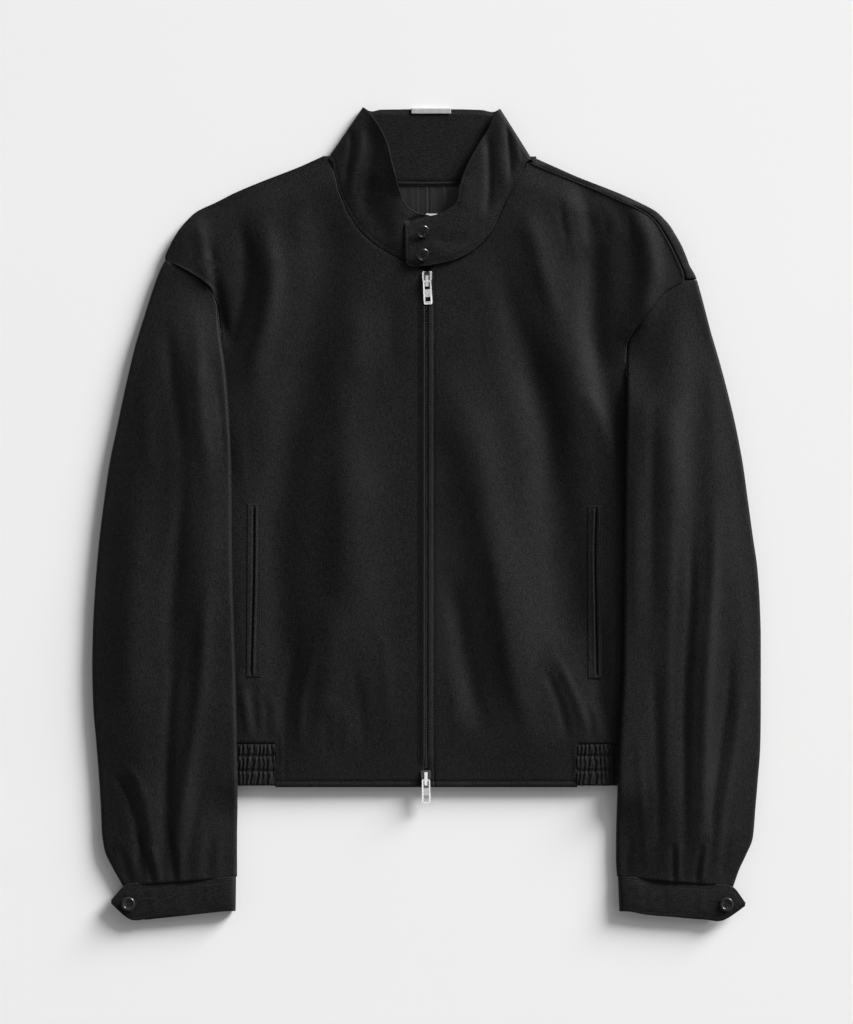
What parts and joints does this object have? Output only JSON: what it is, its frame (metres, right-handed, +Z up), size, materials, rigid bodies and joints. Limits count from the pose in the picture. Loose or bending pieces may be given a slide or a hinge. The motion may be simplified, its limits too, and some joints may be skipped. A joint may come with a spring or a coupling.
{
  "type": "harrington jacket",
  "caption": "Short zip-front jacket laid flat, with a buttoned funnel collar, welt pockets, elastic hem inserts and pointed buttoned cuffs.",
  "frame": {"origin": "middle of the jacket's bounding box, on the surface that it lies on", "axes": "+X to the wearer's left, +Y from hem to collar, +Z up out of the front"},
  "size_m": [0.669, 0.8134, 0.0268],
  "materials": {
    "outer_twill": "fine black twill with a soft sheen",
    "elastic": "black twill gathered on elastic",
    "tape": "black woven tape",
    "lining": "dark grey satin lining",
    "silver_label": "bare silver-grey woven label",
    "white_label": "bare white woven label",
    "zip_metal": "nickel-plated zip teeth",
    "polished_metal": "polished nickel",
    "button": "black polished button"
  },
  "bodies": {
    "jacket": {"back": "outer_twill", "front_right": "outer_twill", "front_left": "outer_twill", "sleeve_right": "outer_twill", "sleeve_left": "outer_twill", "cuff_right": "outer_twill", "cuff_left": "outer_twill", "collar": "outer_twill", "pocket_welt_right": "outer_twill", "pocket_welt_left": "outer_twill", "elastic_right": "elastic", "elastic_left": "elastic", "neck_tape": "tape", "zip_tape_right": "tape", "zip_tape_left": "tape", "lining_back": "lining", "neck_label": "silver_label", "size_label": "white_label", "zip_chain": "zip_metal", "slider_upper": "polished_metal", "slider_lower": "polished_metal", "collar_button_upper": "button", "collar_button_lower": "button", "cuff_button_right": "button", "cuff_button_left": "button"},
    "upper_pull": {"pull_upper": "polished_metal"},
    "lower_pull": {"pull_lower": "polished_metal"}
  },
  "joints": [
    {"name": "upper_pull_hinge", "type": "hinge", "parent": "jacket", "child": "upper_pull", "pos_m": [0.0005, 0.2318, 0.0157], "axis": [-1, 0, 0], "range_deg": [0, 140]},
    {"name": "lower_pull_hinge", "type": "hinge", "parent": "jacket", "child": "lower_pull", "pos_m": [-0.0005, -0.2656, 0.0129], "axis": [-1, 0, 0], "range_deg": [0, 140]}
  ]
}
